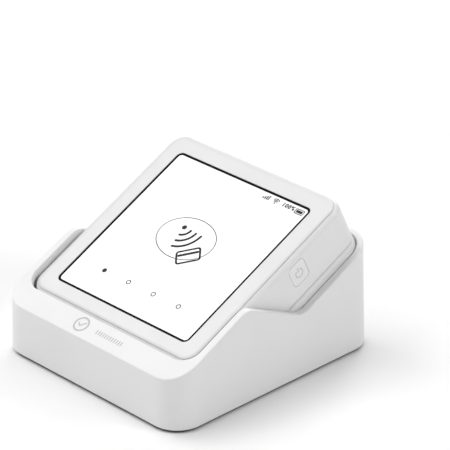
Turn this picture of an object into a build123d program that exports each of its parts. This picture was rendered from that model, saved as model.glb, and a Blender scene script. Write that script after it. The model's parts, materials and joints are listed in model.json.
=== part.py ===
from build123d import *

import os
from math import atan, cos, degrees, radians, sin

# Square touch-screen card payment terminal, docked in a wedge-shaped charging cradle.
# Millimetres. +Z is up, the front faces -Y, and the origin is on the table under the
# middle of the cradle. Every depth is measured square to the sloping front rim of the
# cradle, downwards, and "level" planes are centred on the terminal.

# ---- Driving dimensions: cradle ----
BASE_WIDTH = 94.0
BASE_DEPTH = 101.0
CORNER_RADIUS = 11.0
FRONT_HEIGHT = 20.2
SLOPE = 26.0
WALL_DRAFT = 1.7
SHELL_BOTTOM = 1.0
RIM_THICKNESS = 2.5
RIM_OUTER_EDGE = 0.5
RIM_INNER_EDGE = 0.3
REAR_RIM_DEPTH = 23.2
NOTCH_TOP = 39.4
NOTCH_BOTTOM = 58.8
NOTCH_TOP_RADIUS = 6.5
NOTCH_BOTTOM_RADIUS = 7.5
INNER_HALF_WIDTH = 43.15
INNER_FRONT = -48.0
INNER_REAR = 47.3
INNER_RADIUS = 7.5
POCKET_FRONT = 10.15
POCKET_RADIUS = 6.9
TRAY_THICKNESS = 1.4
TRAY_FIT = 0.2
PLATE_BOTTOM = 0.4
PLATE_TOP = 1.4
PLATE_INSET = 0.8

# ---- Driving dimensions: terminal ----
TERMINAL_CENTRE = 53.3
TOP_DEPTH = 1.5
SEAM_DEPTH = 18.95
SEAM_GROOVE = 0.75
TERMINAL_THICKNESS = 24.5
HOUSING_HALF_TOP = 42.8
HOUSING_HALF_SEAM = 42.9
COVER_HALF = 42.95
HOUSING_RADIUS = 7.0
TOP_ROUNDING = 3.0
HOUSING_INNER_HALF = 40.6
HOUSING_INNER_RADIUS = 5.0
BEZEL_EDGE_DEPTH = 1.95
BEZEL_GROOVE = 0.08
FRAME_DEPTH = 3.0
SCREEN_DEPTH = 1.7
SCREEN_WIDTH = 68.6
SCREEN_HEIGHT = 69.7
SCREEN_SHIFT = -0.55
SCREEN_RADIUS = 2.4
GASKET_WIDTH = 1.0
FLOOR_DEPTH = 23.0
POST_OFFSET = 34.5
CARD_DEPTH = 12.2

# ---- Driving dimensions: power key and charging contacts ----
KEY_LENGTH = 8.0
KEY_HEIGHT = 9.0
KEY_UP_SLOPE = 13.05
KEY_DEPTH = 9.5
KEY_STANDS_PROUD = 0.15
CONTACT_PITCH = 5.0
CONTACT_COUNT = 4
CONTACT_UP_SLOPE = 29.0

# ---- Shared small sizes ----
RUNNING_FIT = 0.08
SLIP_FIT = 0.05
LIP_FIT = 0.1
BEYOND = 80.0

SLOPE_NORMAL = (0, -sin(radians(SLOPE)), cos(radians(SLOPE)))
SLOPE_UP = (0, cos(radians(SLOPE)), sin(radians(SLOPE)))
slope = Plane(origin=(0, -BASE_DEPTH / 2, FRONT_HEIGHT), x_dir=(1, 0, 0), z_dir=SLOPE_NORMAL)


def slope_point(across, up, depth=0.0):
    """A point in the model from its place on the sloping rim plane."""
    return slope.from_local_coords(Vector(across, up, -depth))


def level(depth, across=0.0, up=0.0):
    """A plane parallel to the rim, below it by depth, centred on the terminal."""
    origin = slope_point(across, TERMINAL_CENTRE + up, depth)
    return Plane(origin=origin, x_dir=(1, 0, 0), z_dir=SLOPE_NORMAL)


def side_point(up, depth):
    """A point of the side view (y, z) from its place on the slope."""
    point = slope_point(0, up, depth)
    return (point.Y, point.Z)


def corner_at(point):
    """The corner of the sketch being drawn that is nearest to a point."""
    return vertices().sort_by_distance((*point, 0))[0]


def outline(faces):
    """The edges that belong to only one of the given faces."""
    edges = [edge for face in faces for edge in face.edges()]
    return ShapeList(edge for edge in edges if edges.count(edge) == 1)


def rim_face(face):
    """Whether a face looks up as steeply as the rim of the cradle does."""
    return face.normal_at().Z > 0.85


def by_height(face_list):
    """Faces of the terminal from the deepest to the topmost."""
    return face_list.sort_by(Axis(slope.origin, SLOPE_NORMAL))


def save(builder, name):
    """Label the finished piece and write it as one STEP file."""
    builder.part.label = name
    export_step(builder.part, f"parts/{name}.step")


os.makedirs("parts", exist_ok=True)
contact_places = [
    ((index - (CONTACT_COUNT - 1) / 2) * CONTACT_PITCH, 0) for index in range(CONTACT_COUNT)
]
post_corners = [(x, y) for x in (-POST_OFFSET, POST_OFFSET) for y in (-POST_OFFSET, POST_OFFSET)]

# ======================================================================
# Cradle
# ======================================================================

# Bosses for the four base screws, inside the corners of the shell.
BOSS_X = 39.0
FRONT_BOSS_Y = -43.8
REAR_BOSS_Y = 42.9
BOSS_RADIUS = 3.4
BOSS_TOP = 14.0
BOSS_HOLE_DEPTH = 9.5
SCREW_RADIUS = 1.25
boss_places = [(x, y) for x in (-BOSS_X, BOSS_X) for y in (FRONT_BOSS_Y, REAR_BOSS_Y)]

# USB-C power inlet at the rear, low down: a slot in a shallow recess for the plug.
INLET_Z = 8.4
INLET_WIDTH = 8.94
INLET_HEIGHT = 3.16
INLET_RADIUS = 1.55
INLET_FRONT = 41.5
INLET_REAR = 49.2
INLET_FIT = 0.2
PLUG_RECESS_WIDTH = 13.0
PLUG_RECESS_HEIGHT = 7.2
PLUG_RECESS_RADIUS = 3.0
PLUG_RECESS_DEPTH = 1.2
WALL_CUT = 6.0

# The room under the rim and the opening above it that the terminal drops into.
with BuildPart() as shell_room:
    with BuildSketch(Plane.XY.offset(-SHELL_BOTTOM)):
        with Locations((0, (INNER_FRONT + INNER_REAR) / 2)):
            RectangleRounded(2 * INNER_HALF_WIDTH, INNER_REAR - INNER_FRONT, INNER_RADIUS)
    extrude(amount=BEYOND)
    split(bisect_by=slope.offset(-RIM_THICKNESS), keep=Keep.BOTTOM)
    with BuildSketch(slope.offset(-RIM_THICKNESS)):
        with Locations((0, POCKET_FRONT + BEYOND / 2)):
            RectangleRounded(2 * INNER_HALF_WIDTH, BEYOND, POCKET_RADIUS)
    extrude(amount=BEYOND)

with BuildPart() as cradle_shell:
    with BuildSketch(Plane.XY.offset(SHELL_BOTTOM)):
        RectangleRounded(BASE_WIDTH, BASE_DEPTH, CORNER_RADIUS)
    extrude(amount=BEYOND, taper=WALL_DRAFT)
    # Side view: the front half reaches the rim, then the walls drop to a low rear rim.
    in_front = side_point(-BEYOND, 0)
    behind = side_point(2 * BEYOND, REAR_RIM_DEPTH)
    notch_start = side_point(NOTCH_TOP, 0)
    notch_end = side_point(NOTCH_BOTTOM, REAR_RIM_DEPTH)
    with BuildSketch(Plane.YZ):
        with BuildLine():
            Polyline(in_front, notch_start, notch_end, behind, (behind[0], in_front[1]), close=True)
        make_face()
        fillet(corner_at(notch_start), radius=NOTCH_TOP_RADIUS)
        fillet(corner_at(notch_end), radius=NOTCH_BOTTOM_RADIUS)
    extrude(amount=BASE_WIDTH, both=True, mode=Mode.INTERSECT)
    fillet(outline(faces().filter_by(rim_face)), radius=RIM_OUTER_EDGE)
    chamfer(faces().sort_by(Axis.Z)[0].edges(), length=RIM_OUTER_EDGE)
    add(shell_room.part, mode=Mode.SUBTRACT)
    rim_edges = outline(faces().filter_by(rim_face))
    fillet([edge for edge in edges(Select.LAST) if edge in rim_edges], radius=RIM_INNER_EDGE)
    # Bosses for the base screws.
    with BuildSketch(Plane.XY.offset(PLATE_TOP)):
        with Locations(*boss_places):
            Circle(BOSS_RADIUS)
    extrude(amount=BOSS_TOP - PLATE_TOP)
    with BuildSketch(Plane.XY.offset(PLATE_TOP)):
        with Locations(*boss_places):
            Circle(SCREW_RADIUS)
    extrude(amount=BOSS_HOLE_DEPTH, mode=Mode.SUBTRACT)
    # Power inlet.
    with BuildSketch(Plane.XZ.offset(-BASE_DEPTH / 2)):
        with Locations((0, INLET_Z)):
            RectangleRounded(PLUG_RECESS_WIDTH, PLUG_RECESS_HEIGHT, PLUG_RECESS_RADIUS)
    extrude(amount=PLUG_RECESS_DEPTH, mode=Mode.SUBTRACT)
    with BuildSketch(Plane.XZ.offset(-BASE_DEPTH / 2)):
        with Locations((0, INLET_Z)):
            RectangleRounded(
                INLET_WIDTH + 2 * INLET_FIT, INLET_HEIGHT + 2 * INLET_FIT, INLET_RADIUS + INLET_FIT
            )
    extrude(amount=WALL_CUT, mode=Mode.SUBTRACT)
save(cradle_shell, "cradle_shell")

# The outline that fits inside the shell's walls, for the tray and the bottom cover.
with BuildSketch() as inside_outline:
    with Locations((0, (INNER_FRONT + INNER_REAR) / 2)):
        RectangleRounded(
            2 * (INNER_HALF_WIDTH - TRAY_FIT),
            INNER_REAR - INNER_FRONT - 2 * TRAY_FIT,
            INNER_RADIUS - TRAY_FIT,
        )

# Floor and front wall of the pocket: one L-shaped moulding between the shell's walls.
TRAY_TOP_DEPTH = 24.95
TRAY_BOTTOM_DEPTH = TRAY_TOP_DEPTH + TRAY_THICKNESS
TRAY_REACH = 110.0
TRAY_INNER_CORNER = 1.2
TRAY_OUTER_CORNER = 3.6
BLOCK_LENGTH = 24.0
BLOCK_WIDTH = 6.0
BLOCK_FIT = 0.2
with BuildPart() as pocket_tray:
    wall_top = RIM_THICKNESS + SLIP_FIT
    inner_corner = side_point(POCKET_FRONT, TRAY_TOP_DEPTH)
    outer_corner = side_point(POCKET_FRONT - TRAY_THICKNESS, TRAY_BOTTOM_DEPTH)
    with BuildSketch(Plane.YZ):
        with BuildLine():
            Polyline(
                side_point(POCKET_FRONT, wall_top),
                inner_corner,
                side_point(TRAY_REACH, TRAY_TOP_DEPTH),
                side_point(TRAY_REACH, TRAY_BOTTOM_DEPTH),
                outer_corner,
                side_point(POCKET_FRONT - TRAY_THICKNESS, wall_top),
                close=True,
            )
        make_face()
        fillet(corner_at(outer_corner), radius=TRAY_OUTER_CORNER)
        fillet(corner_at(inner_corner), radius=TRAY_INNER_CORNER)
    extrude(amount=INNER_HALF_WIDTH - TRAY_FIT, both=True)
    extrude(inside_outline.sketch, amount=BEYOND, mode=Mode.INTERSECT)
    with BuildSketch(level(TRAY_BOTTOM_DEPTH, up=CONTACT_UP_SLOPE)):
        RectangleRounded(BLOCK_LENGTH + 2 * BLOCK_FIT, BLOCK_WIDTH + 2 * BLOCK_FIT, 1.0 + BLOCK_FIT)
    extrude(amount=TRAY_THICKNESS, mode=Mode.SUBTRACT)
save(pocket_tray, "pocket_tray")

# Dark bottom cover. Its edge runs under the walls of the shell, a little inside them. It has
# countersunk holes, and posts for the cradle's circuit board.
SCREW_HEAD_RADIUS = 2.2
HEAD_HEIGHT = SCREW_HEAD_RADIUS - SCREW_RADIUS
BOARD_BOTTOM = 5.6
BOARD_TOP = 6.8
BOARD_WIDTH = 26.0
BOARD_FRONT = 21.0
BOARD_REAR = 47.0
POST_RADIUS = 2.2
POST_HOLE_RADIUS = 0.8
POST_HOLE_DEPTH = 3.0
board_centre = (0, (BOARD_FRONT + BOARD_REAR) / 2)
board_post_places = [(x, y) for x in (-10, 10) for y in (24, 38)]
with BuildPart() as base_plate:
    with BuildSketch(Plane.XY.offset(PLATE_BOTTOM)):
        RectangleRounded(
            BASE_WIDTH - 2 * PLATE_INSET, BASE_DEPTH - 2 * PLATE_INSET, CORNER_RADIUS - PLATE_INSET
        )
    extrude(amount=SHELL_BOTTOM - SLIP_FIT - PLATE_BOTTOM)
    extrude(inside_outline.sketch.moved(Location((0, 0, PLATE_BOTTOM))), amount=PLATE_TOP - PLATE_BOTTOM)
    with BuildSketch(Plane.XY.offset(PLATE_BOTTOM)):
        with Locations(*boss_places):
            Circle(SCREW_HEAD_RADIUS + SLIP_FIT)
    extrude(amount=PLATE_TOP - PLATE_BOTTOM, taper=45, mode=Mode.SUBTRACT)
    with BuildSketch(Plane.XY.offset(PLATE_TOP)):
        with Locations(*board_post_places):
            Circle(POST_RADIUS)
    extrude(amount=BOARD_BOTTOM - PLATE_TOP)
    with BuildSketch(Plane.XY.offset(BOARD_BOTTOM)):
        with Locations(*board_post_places):
            Circle(POST_HOLE_RADIUS)
    extrude(amount=-POST_HOLE_DEPTH, mode=Mode.SUBTRACT)
save(base_plate, "base_plate")

# Countersunk screws with a hexagon socket, from under the bottom cover into the bosses.
BASE_SCREW_LENGTH = 9.0
SHANK_FIT = 0.02
BASE_SOCKET_RADIUS = 0.9
BASE_SOCKET_DEPTH = 0.8
with BuildPart() as base_screws:
    with BuildSketch(Plane.XY.offset(PLATE_BOTTOM)):
        with Locations(*boss_places):
            Circle(SCREW_HEAD_RADIUS)
    extrude(amount=HEAD_HEIGHT, taper=45)
    with BuildSketch(Plane.XY.offset(PLATE_BOTTOM)):
        with Locations(*boss_places):
            Circle(SCREW_RADIUS - SHANK_FIT)
    extrude(amount=BASE_SCREW_LENGTH)
    with BuildSketch(Plane.XY.offset(PLATE_BOTTOM)):
        with Locations(*boss_places):
            RegularPolygon(BASE_SOCKET_RADIUS, 6)
    extrude(amount=BASE_SOCKET_DEPTH, mode=Mode.SUBTRACT)
save(base_screws, "base_screws")

FOOT_RADIUS = 6.0
FOOT_EDGE = 0.2
foot_places = [(x, y) for x in (-33, 33) for y in (-30, 30)]
with BuildPart() as foot_pads:
    with BuildSketch(Plane.XY):
        with Locations(*foot_places):
            Circle(FOOT_RADIUS)
    extrude(amount=PLATE_BOTTOM)
    chamfer(faces().group_by(Axis.Z)[0].edges(), length=FOOT_EDGE)
save(foot_pads, "foot_pads")

# Steel plate that keeps the light cradle from sliding.
BALLAST_WIDTH = 72.0
BALLAST_LENGTH = 30.0
BALLAST_THICKNESS = 3.0
BALLAST_Y = 3.0
with BuildPart() as ballast_plate:
    with BuildSketch(Plane.XY.offset(PLATE_TOP)):
        with Locations((0, BALLAST_Y)):
            RectangleRounded(BALLAST_WIDTH, BALLAST_LENGTH, 2)
    extrude(amount=BALLAST_THICKNESS)
save(ballast_plate, "ballast_plate")

with BuildPart() as cradle_board:
    with BuildSketch(Plane.XY.offset(BOARD_BOTTOM)):
        with Locations(board_centre):
            Rectangle(BOARD_WIDTH, BOARD_REAR - BOARD_FRONT)
        with Locations(*board_post_places):
            Circle(POST_HOLE_RADIUS, mode=Mode.SUBTRACT)
    extrude(amount=BOARD_TOP - BOARD_BOTTOM)
save(cradle_board, "cradle_board")

BOARD_SCREW_HEAD_RADIUS = 1.5
BOARD_SCREW_HEAD_HEIGHT = 1.0
BOARD_SCREW_LENGTH = 4.0
with BuildPart() as board_screws:
    with BuildSketch(Plane.XY.offset(BOARD_TOP)):
        with Locations(*board_post_places):
            Circle(BOARD_SCREW_HEAD_RADIUS)
    extrude(amount=BOARD_SCREW_HEAD_HEIGHT)
    with BuildSketch(Plane.XY.offset(BOARD_TOP)):
        with Locations(*board_post_places):
            Circle(POST_HOLE_RADIUS - SHANK_FIT)
    extrude(amount=-BOARD_SCREW_LENGTH)
save(board_screws, "board_screws")

# Metal shell of the power socket, and the contact tongue inside it.
SOCKET_WALL = 0.3
SOCKET_DEPTH = 6.2
TONGUE_LENGTH = 5.2
TONGUE_WIDTH = 6.7
TONGUE_THICKNESS = 0.7
with BuildPart() as usb_socket:
    with BuildSketch(Plane.XZ.offset(-INLET_REAR)):
        with Locations((0, INLET_Z)):
            RectangleRounded(INLET_WIDTH, INLET_HEIGHT, INLET_RADIUS)
    extrude(amount=INLET_REAR - INLET_FRONT)
    with BuildSketch(Plane.XZ.offset(-INLET_REAR)):
        with Locations((0, INLET_Z)):
            RectangleRounded(
                INLET_WIDTH - 2 * SOCKET_WALL,
                INLET_HEIGHT - 2 * SOCKET_WALL,
                INLET_RADIUS - SOCKET_WALL,
            )
    extrude(amount=SOCKET_DEPTH, mode=Mode.SUBTRACT)
save(usb_socket, "usb_socket")

with BuildPart() as usb_tongue:
    with BuildSketch(Plane.XZ.offset(-(INLET_REAR - SOCKET_DEPTH))):
        with Locations((0, INLET_Z)):
            RectangleRounded(TONGUE_WIDTH, TONGUE_THICKNESS, 0.3)
    extrude(amount=-TONGUE_LENGTH)
save(usb_tongue, "usb_tongue")

# Charging contacts: a block that looks up through the tray, with sprung pins.
BLOCK_TOP_DEPTH = 24.8
BLOCK_BOTTOM_DEPTH = 29.3
BLOCK_FLANGE_LENGTH = 30.0
BLOCK_FLANGE_WIDTH = 9.0
PIN_TIP_RADIUS = 0.70
PIN_TIP_ROUNDING = 0.45
PIN_COLLAR_RADIUS = 1.05
PIN_TIP_DEPTH = 24.55
SHOULDER_DEPTH = 25.8
COLLAR_TOP_DEPTH = SHOULDER_DEPTH + SLIP_FIT
COLLAR_BOTTOM_DEPTH = 26.75
with BuildPart() as contact_block:
    with BuildSketch(level(BLOCK_BOTTOM_DEPTH, up=CONTACT_UP_SLOPE)):
        RectangleRounded(BLOCK_LENGTH, BLOCK_WIDTH, 1.0)
    extrude(amount=BLOCK_BOTTOM_DEPTH - BLOCK_TOP_DEPTH)
    with BuildSketch(level(BLOCK_BOTTOM_DEPTH, up=CONTACT_UP_SLOPE)):
        RectangleRounded(BLOCK_FLANGE_LENGTH, BLOCK_FLANGE_WIDTH, 1.0)
    extrude(amount=BLOCK_BOTTOM_DEPTH - TRAY_BOTTOM_DEPTH - SLIP_FIT)
    with BuildSketch(level(BLOCK_TOP_DEPTH, up=CONTACT_UP_SLOPE)):
        with Locations(*contact_places):
            Circle(PIN_TIP_RADIUS + RUNNING_FIT)
    extrude(amount=-(SHOULDER_DEPTH - BLOCK_TOP_DEPTH), mode=Mode.SUBTRACT)
    with BuildSketch(level(SHOULDER_DEPTH, up=CONTACT_UP_SLOPE)):
        with Locations(*contact_places):
            Circle(PIN_COLLAR_RADIUS + RUNNING_FIT)
    extrude(amount=-(BLOCK_BOTTOM_DEPTH - SHOULDER_DEPTH), mode=Mode.SUBTRACT)
save(contact_block, "contact_block")

CONTACT_BOARD_LENGTH = 34.0
CONTACT_BOARD_WIDTH = 12.0
CONTACT_BOARD_THICKNESS = 1.0
CONTACT_BOARD_DEPTH = BLOCK_BOTTOM_DEPTH + CONTACT_BOARD_THICKNESS
with BuildPart() as contact_board:
    with BuildSketch(level(CONTACT_BOARD_DEPTH, up=CONTACT_UP_SLOPE)):
        RectangleRounded(CONTACT_BOARD_LENGTH, CONTACT_BOARD_WIDTH, 1.0)
    extrude(amount=CONTACT_BOARD_THICKNESS)
save(contact_board, "contact_board")

SPRING_RADIUS = 0.75
SPRING_WIRE = 0.12
SPRING_TURNS = 4
spring_foot_depth = BLOCK_BOTTOM_DEPTH - SPRING_WIRE - SLIP_FIT
spring_height = spring_foot_depth - COLLAR_BOTTOM_DEPTH - SPRING_WIRE - SLIP_FIT
for number, (across, _) in enumerate(contact_places, start=1):
    with BuildPart() as contact_pin:
        with BuildSketch(level(COLLAR_TOP_DEPTH, across, CONTACT_UP_SLOPE)):
            Circle(PIN_TIP_RADIUS)
        extrude(amount=COLLAR_TOP_DEPTH - PIN_TIP_DEPTH)
        fillet(faces().sort_by(Axis.Z)[-1].edges(), radius=PIN_TIP_ROUNDING)
        with BuildSketch(level(COLLAR_BOTTOM_DEPTH, across, CONTACT_UP_SLOPE)):
            Circle(PIN_COLLAR_RADIUS)
        extrude(amount=COLLAR_BOTTOM_DEPTH - COLLAR_TOP_DEPTH)
    save(contact_pin, f"contact_pin_{number}")

    with BuildPart() as contact_spring:
        spring_foot = level(spring_foot_depth, across, CONTACT_UP_SLOPE)
        with BuildLine() as coil:
            Helix(
                pitch=spring_height / SPRING_TURNS,
                height=spring_height,
                radius=SPRING_RADIUS,
                center=spring_foot.origin,
                direction=spring_foot.z_dir,
            )
        with BuildSketch(Plane(origin=coil.line @ 0, z_dir=coil.line % 0)):
            Circle(SPRING_WIRE)
        sweep(path=coil.line, is_frenet=True)
    save(contact_spring, f"contact_spring_{number}")

# Flat ribbon from the cradle's board up to the contact board.
RIBBON_THICKNESS = 0.6
RIBBON_HALF_WIDTH = 3.5
RIBBON_BEND = 2.5
RIBBON_START_Y = 27.0
RIBBON_TURN_Y = 39.0
RIBBON_RISE = (41.0, 18.0)
RIBBON_DROP = 5.0
ribbon_lowest = BOARD_TOP + RIBBON_THICKNESS / 2 + LIP_FIT
ribbon_end_up = TERMINAL_CENTRE + CONTACT_UP_SLOPE
with BuildPart() as link_cable:
    with BuildSketch(Plane.YZ):
        with BuildLine():
            FilletPolyline(
                (RIBBON_START_Y, ribbon_lowest),
                (RIBBON_TURN_Y, ribbon_lowest),
                RIBBON_RISE,
                side_point(ribbon_end_up, CONTACT_BOARD_DEPTH + RIBBON_DROP),
                side_point(ribbon_end_up, CONTACT_BOARD_DEPTH),
                radius=RIBBON_BEND,
            )
        trace(line_width=RIBBON_THICKNESS)
    extrude(amount=RIBBON_HALF_WIDTH, both=True)
save(link_cable, "link_cable")

# ======================================================================
# Terminal
# ======================================================================

# Outlines inside the side walls: the lip of a cover, and the level of the inner frame.
LIP_SIZE = 2 * (HOUSING_INNER_HALF - LIP_FIT)
LIP_RADIUS = HOUSING_INNER_RADIUS - LIP_FIT
CORE_SIZE = 76.0
CORE_RADIUS = 3.0

# The outside of the terminal above its seam: drafted walls and a rounded top edge.
WALL_HEIGHT = SEAM_DEPTH - TOP_DEPTH
housing_draft = degrees(atan((HOUSING_HALF_SEAM - HOUSING_HALF_TOP) / WALL_HEIGHT))
with BuildPart() as terminal_envelope:
    with BuildSketch(level(SEAM_DEPTH)):
        RectangleRounded(2 * HOUSING_HALF_SEAM, 2 * HOUSING_HALF_SEAM, HOUSING_RADIUS)
    extrude(amount=WALL_HEIGHT, taper=housing_draft)
    fillet(by_height(faces())[-1].edges(), radius=TOP_ROUNDING)

# Flat white frame round the screen, which lies just below it.
with BuildPart() as bezel_frame:
    add(terminal_envelope.part)
    split(bisect_by=level(BEZEL_EDGE_DEPTH), keep=Keep.TOP)
    with BuildSketch(level(FRAME_DEPTH)):
        RectangleRounded(LIP_SIZE, LIP_SIZE, LIP_RADIUS)
    extrude(amount=FRAME_DEPTH - BEZEL_EDGE_DEPTH)
    with BuildSketch(level(FRAME_DEPTH, up=SCREEN_SHIFT)):
        RectangleRounded(SCREEN_WIDTH, SCREEN_HEIGHT, SCREEN_RADIUS)
    extrude(amount=FRAME_DEPTH, mode=Mode.SUBTRACT)
save(bezel_frame, "bezel_frame")

# Side walls of the terminal, with the card slot in front and the key window on the right.
KEY_WINDOW_FIT = 0.1
KEY_RADIUS = 1.6
CARD_SLOT_WIDTH = 56.0
CARD_SLOT_HEIGHT = 1.8
CARD_SLOT_RADIUS = 0.85
WINDOW_CUT = 4.0
key_plane = Plane(
    origin=slope_point(
        HOUSING_HALF_TOP + KEY_STANDS_PROUD, TERMINAL_CENTRE + KEY_UP_SLOPE, KEY_DEPTH
    ),
    x_dir=SLOPE_UP,
    z_dir=(1, 0, 0),
)
front_wall = Plane(
    origin=slope_point(0, TERMINAL_CENTRE - COVER_HALF, CARD_DEPTH),
    x_dir=(1, 0, 0),
    z_dir=SLOPE_UP,
)
with BuildPart() as terminal_housing:
    add(terminal_envelope.part)
    split(bisect_by=level(BEZEL_EDGE_DEPTH + BEZEL_GROOVE), keep=Keep.BOTTOM)
    with BuildSketch(level(SEAM_DEPTH)):
        RectangleRounded(2 * HOUSING_INNER_HALF, 2 * HOUSING_INNER_HALF, HOUSING_INNER_RADIUS)
    extrude(amount=SEAM_DEPTH, mode=Mode.SUBTRACT)
    with BuildSketch(front_wall):
        RectangleRounded(CARD_SLOT_WIDTH, CARD_SLOT_HEIGHT, CARD_SLOT_RADIUS)
    extrude(amount=WINDOW_CUT, mode=Mode.SUBTRACT)
    with BuildSketch(key_plane):
        RectangleRounded(
            KEY_LENGTH + 2 * KEY_WINDOW_FIT, KEY_HEIGHT + 2 * KEY_WINDOW_FIT, KEY_RADIUS + KEY_WINDOW_FIT
        )
    extrude(amount=-WINDOW_CUT, mode=Mode.SUBTRACT)
save(terminal_housing, "terminal_housing")

# Bottom cover of the terminal: a tray with a lip inside the side walls.
COVER_TOP_DEPTH = SEAM_DEPTH + SEAM_GROOVE
COVER_RADIUS = HOUSING_RADIUS + 0.2
COVER_BOTTOM_ROUNDING = 1.2
COVER_TOP_ROUNDING = 2.0
COVER_LIP_HEIGHT = 2.2
COVER_HOLLOW_SIZE = 76.8
COVER_HOLLOW_RADIUS = 3.4
BOSS_DEPTH = 21.6
COVER_BOSS_RADIUS = 3.0
HEAD_HOLE_RADIUS = 2.1
HEAD_HOLE_DEPTH = 1.6
SHANK_HOLE_RADIUS = 1.1
PAD_RADIUS = 1.6
PAD_FIT = 0.05
SPEAKER_ACROSS = -22.0
SPEAKER_HOLE_RADIUS = 0.6
SPEAKER_HOLE_PITCH = 2.4
with BuildPart() as back_cover:
    with BuildSketch(level(TERMINAL_THICKNESS)):
        RectangleRounded(2 * COVER_HALF, 2 * COVER_HALF, COVER_RADIUS)
    extrude(amount=TERMINAL_THICKNESS - COVER_TOP_DEPTH)
    fillet(by_height(faces())[0].edges(), radius=COVER_BOTTOM_ROUNDING)
    fillet(by_height(faces())[-1].edges(), radius=COVER_TOP_ROUNDING)
    with BuildSketch(level(COVER_TOP_DEPTH)):
        RectangleRounded(LIP_SIZE, LIP_SIZE, LIP_RADIUS)
    extrude(amount=COVER_LIP_HEIGHT)
    with BuildSketch(level(FLOOR_DEPTH)):
        RectangleRounded(COVER_HOLLOW_SIZE, COVER_HOLLOW_SIZE, COVER_HOLLOW_RADIUS)
    extrude(amount=FLOOR_DEPTH - COVER_TOP_DEPTH + COVER_LIP_HEIGHT, mode=Mode.SUBTRACT)
    with BuildSketch(level(FLOOR_DEPTH)):
        with Locations(*post_corners):
            Circle(COVER_BOSS_RADIUS)
    extrude(amount=FLOOR_DEPTH - BOSS_DEPTH)
    with BuildSketch(level(TERMINAL_THICKNESS)):
        with Locations(*post_corners):
            Circle(HEAD_HOLE_RADIUS)
    extrude(amount=HEAD_HOLE_DEPTH, mode=Mode.SUBTRACT)
    with BuildSketch(level(TERMINAL_THICKNESS)):
        with Locations(*post_corners):
            Circle(SHANK_HOLE_RADIUS)
    extrude(amount=TERMINAL_THICKNESS - BOSS_DEPTH, mode=Mode.SUBTRACT)
    with BuildSketch(level(TERMINAL_THICKNESS, up=CONTACT_UP_SLOPE)):
        with Locations(*contact_places):
            Circle(PAD_RADIUS + PAD_FIT)
    extrude(amount=TERMINAL_THICKNESS - FLOOR_DEPTH, mode=Mode.SUBTRACT)
    with BuildSketch(level(TERMINAL_THICKNESS, across=SPEAKER_ACROSS, up=CONTACT_UP_SLOPE)):
        with GridLocations(SPEAKER_HOLE_PITCH, SPEAKER_HOLE_PITCH, 4, 3):
            Circle(SPEAKER_HOLE_RADIUS)
    extrude(amount=TERMINAL_THICKNESS - FLOOR_DEPTH, mode=Mode.SUBTRACT)
save(back_cover, "back_cover")

TERMINAL_FOOT_RADIUS = 3.5
TERMINAL_FOOT_THICKNESS = 0.4
terminal_foot_places = [(x, y) for x in (-30, 30) for y in (-30, 30)]
with BuildPart() as terminal_feet:
    with BuildSketch(level(TERMINAL_THICKNESS + TERMINAL_FOOT_THICKNESS)):
        with Locations(*terminal_foot_places):
            Circle(TERMINAL_FOOT_RADIUS)
    extrude(amount=TERMINAL_FOOT_THICKNESS)
save(terminal_feet, "terminal_feet")

# Cap screws with a hexagon socket, from under the terminal into the inner frame's posts.
CAP_DEPTH = 24.2
CAP_RADIUS = 2.0
CAP_HEIGHT = 1.3
CAP_SCREW_LENGTH = 8.0
CAP_SHANK_RADIUS = 0.98
CAP_SOCKET_RADIUS = 0.8
CAP_SOCKET_DEPTH = 0.7
with BuildPart() as housing_screws:
    with BuildSketch(level(CAP_DEPTH)):
        with Locations(*post_corners):
            Circle(CAP_RADIUS)
    extrude(amount=CAP_HEIGHT)
    with BuildSketch(level(CAP_DEPTH)):
        with Locations(*post_corners):
            Circle(CAP_SHANK_RADIUS)
    extrude(amount=CAP_SCREW_LENGTH)
    with BuildSketch(level(CAP_DEPTH)):
        with Locations(*post_corners):
            RegularPolygon(CAP_SOCKET_RADIUS, 6)
    extrude(amount=CAP_SOCKET_DEPTH, mode=Mode.SUBTRACT)
save(housing_screws, "housing_screws")

# Screen stack: gasket, glass, touch layer and display module.
LENS_WIDTH = SCREEN_WIDTH - 2 * GASKET_WIDTH
LENS_HEIGHT = SCREEN_HEIGHT - 2 * GASKET_WIDTH
LENS_RADIUS = SCREEN_RADIUS - GASKET_WIDTH
LENS_THICKNESS = 1.0
TOUCH_THICKNESS = 0.6
TOUCH_BOTTOM_DEPTH = SCREEN_DEPTH + LENS_THICKNESS + TOUCH_THICKNESS
DISPLAY_BOTTOM_DEPTH = 5.6
with BuildPart() as screen_gasket:
    with BuildSketch(level(FRAME_DEPTH, up=SCREEN_SHIFT)):
        RectangleRounded(SCREEN_WIDTH, SCREEN_HEIGHT, SCREEN_RADIUS)
        RectangleRounded(LENS_WIDTH, LENS_HEIGHT, LENS_RADIUS, mode=Mode.SUBTRACT)
    extrude(amount=FRAME_DEPTH - SCREEN_DEPTH)
save(screen_gasket, "screen_gasket")

with BuildPart() as cover_lens:
    with BuildSketch(level(SCREEN_DEPTH + LENS_THICKNESS, up=SCREEN_SHIFT)):
        RectangleRounded(LENS_WIDTH, LENS_HEIGHT, LENS_RADIUS)
    extrude(amount=LENS_THICKNESS)
save(cover_lens, "cover_lens")

with BuildPart() as touch_panel:
    with BuildSketch(level(TOUCH_BOTTOM_DEPTH, up=SCREEN_SHIFT)):
        RectangleRounded(LENS_WIDTH - 2 * LIP_FIT, LENS_HEIGHT - 2 * LIP_FIT, LENS_RADIUS)
    extrude(amount=TOUCH_THICKNESS)
save(touch_panel, "touch_panel")

with BuildPart() as display_module:
    with BuildSketch(level(DISPLAY_BOTTOM_DEPTH, up=SCREEN_SHIFT)):
        RectangleRounded(LENS_WIDTH, LENS_HEIGHT, 1.0)
    extrude(amount=DISPLAY_BOTTOM_DEPTH - TOUCH_BOTTOM_DEPTH)
save(display_module, "display_module")

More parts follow.
